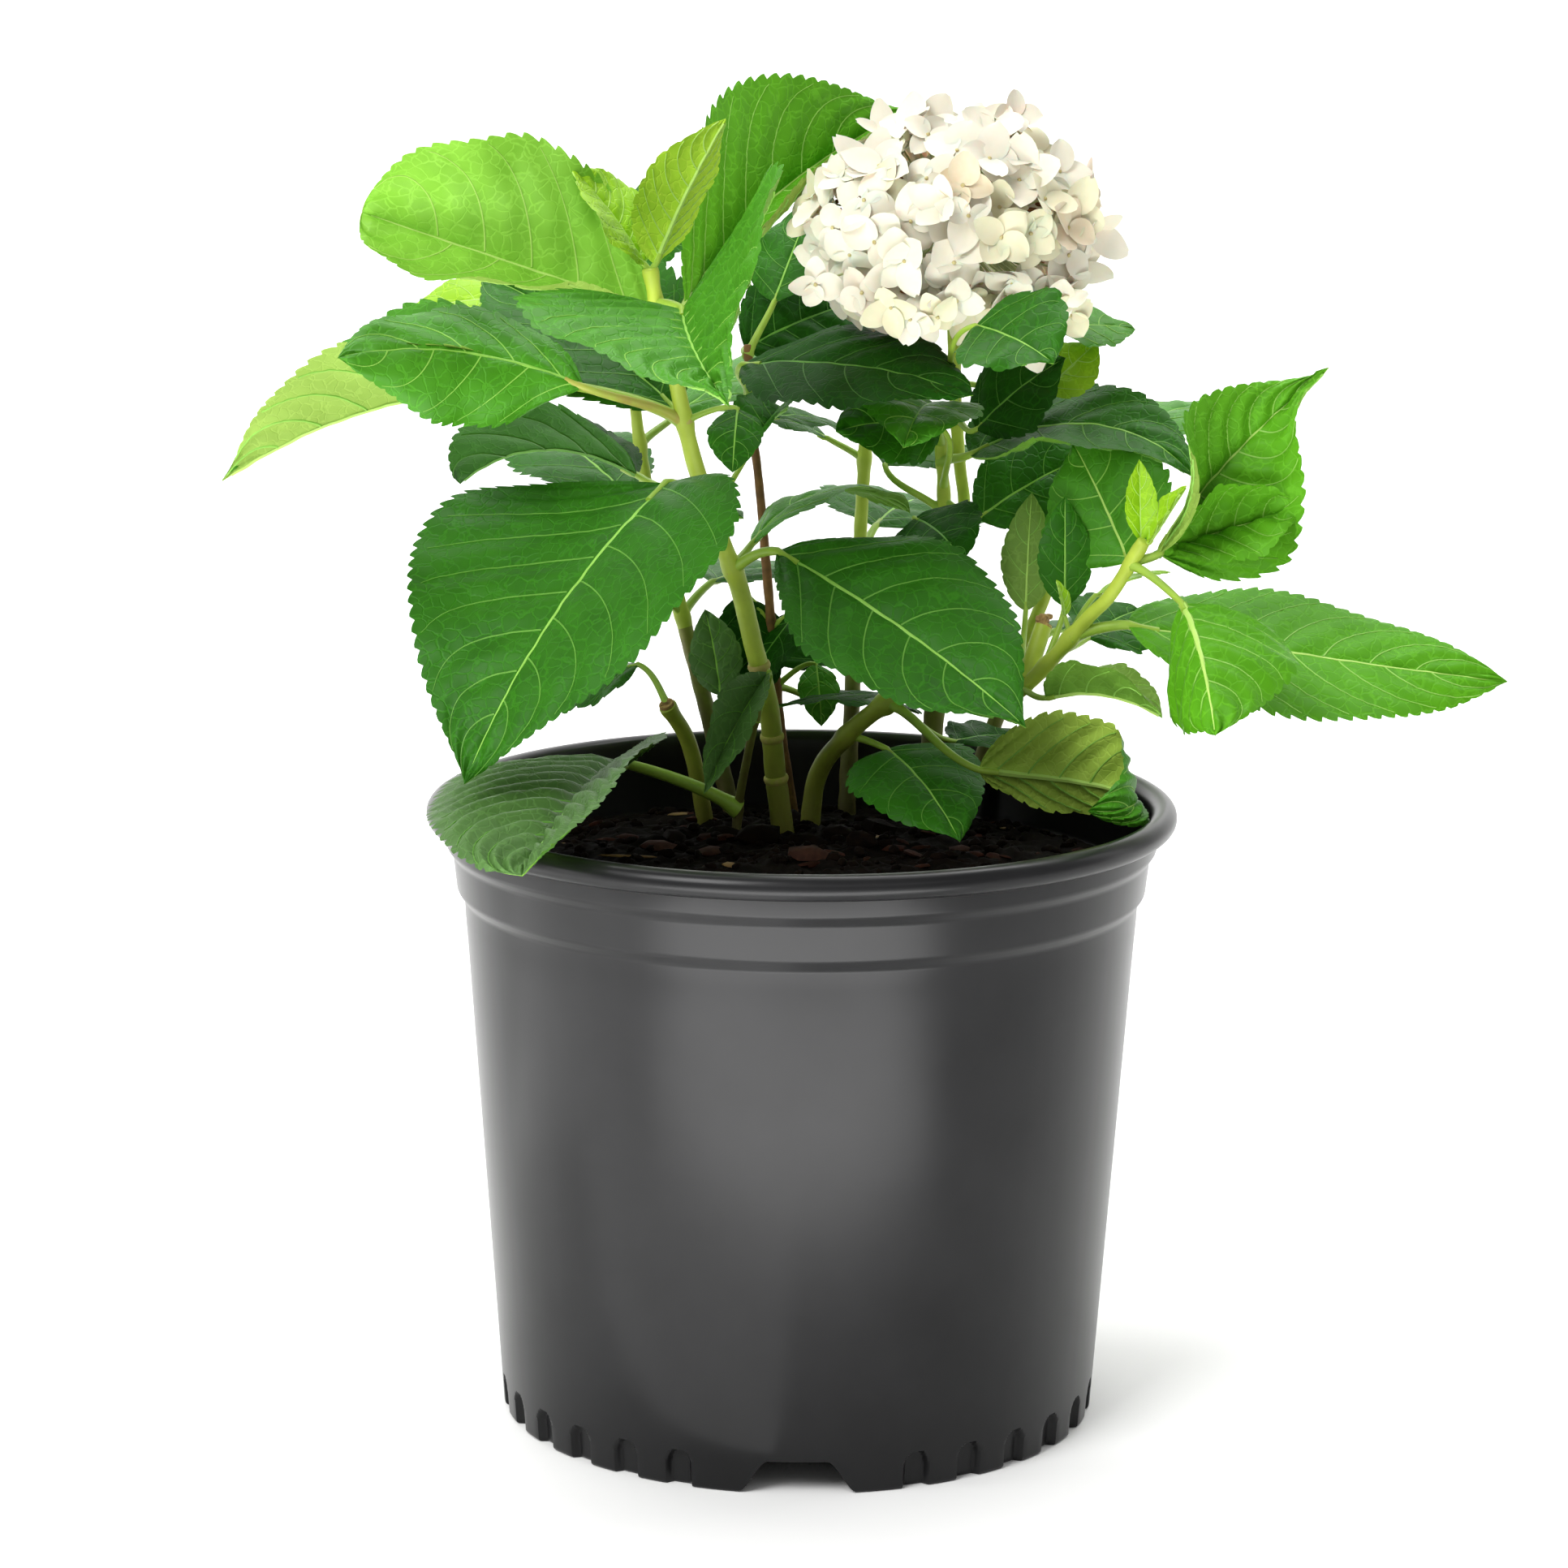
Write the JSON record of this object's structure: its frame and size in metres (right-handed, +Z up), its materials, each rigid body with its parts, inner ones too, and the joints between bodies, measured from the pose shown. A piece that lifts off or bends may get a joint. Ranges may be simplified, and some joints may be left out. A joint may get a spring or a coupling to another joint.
{
  "type": "potted hydrangea shrub",
  "caption": "Young leafy hydrangea shrub with a round white mophead bloom, growing in a black nursery pot with a rolled rim and a fluted foot.",
  "frame": {"origin": "centre of the pot's flat underside", "axes": "+Z up the pot's axis, +X to the plant's right seen from the front, +Y towards its back"},
  "size_m": [0.4819, 0.365, 0.496],
  "materials": {
    "pot": "moulded, semi-gloss",
    "soil": "crumbly potting mix",
    "main_cane": "green stem",
    "brown_cane": "ripe brown twig",
    "brown_cane_upper": "ripe brown twig",
    "centre_cane": "green stem",
    "bloom_stalk": "green stem",
    "right_cane_foot": "green stem",
    "right_cane": "green stem",
    "back_left_cane": "green stem",
    "back_middle_cane": "green stem",
    "back_right_cane": "green stem",
    "leaves_main_low": "satin leaf",
    "leaves_main_middle": "satin leaf",
    "leaves_main_top": "satin leaf",
    "leaves_brown_low": "satin leaf",
    "leaves_brown_top": "satin leaf",
    "leaves_centre": "satin leaf",
    "leaves_bloom": "satin leaf",
    "leaves_low_right": "satin leaf",
    "leaves_right_middle": "satin leaf",
    "leaves_right_top": "satin leaf",
    "leaves_low_left": "satin leaf",
    "left_stub_leaf": "satin leaf",
    "leaves_back_left": "satin leaf",
    "leaves_back_middle": "satin leaf",
    "leaves_back_right": "satin leaf",
    "bloom_head": "soft petal"
  },
  "bodies": {
    "root": {"pot": "pot", "soil": "soil", "main_cane": "main_cane", "brown_cane": "brown_cane", "brown_cane_upper": "brown_cane_upper", "centre_cane": "centre_cane", "bloom_stalk": "bloom_stalk", "right_cane_foot": "right_cane_foot", "right_cane": "right_cane", "back_left_cane": "back_left_cane", "back_middle_cane": "back_middle_cane", "back_right_cane": "back_right_cane", "leaves_main_low": "leaves_main_low", "leaves_main_middle": "leaves_main_middle", "leaves_main_top": "leaves_main_top", "leaves_brown_low": "leaves_brown_low", "leaves_brown_top": "leaves_brown_top", "leaves_centre": "leaves_centre", "leaves_bloom": "leaves_bloom", "leaves_low_right": "leaves_low_right", "leaves_right_middle": "leaves_right_middle", "leaves_right_top": "leaves_right_top", "leaves_low_left": "leaves_low_left", "left_stub_leaf": "left_stub_leaf", "leaves_back_left": "leaves_back_left", "leaves_back_middle": "leaves_back_middle", "leaves_back_right": "leaves_back_right", "bloom_head": "bloom_head"}
  },
  "joints": []
}
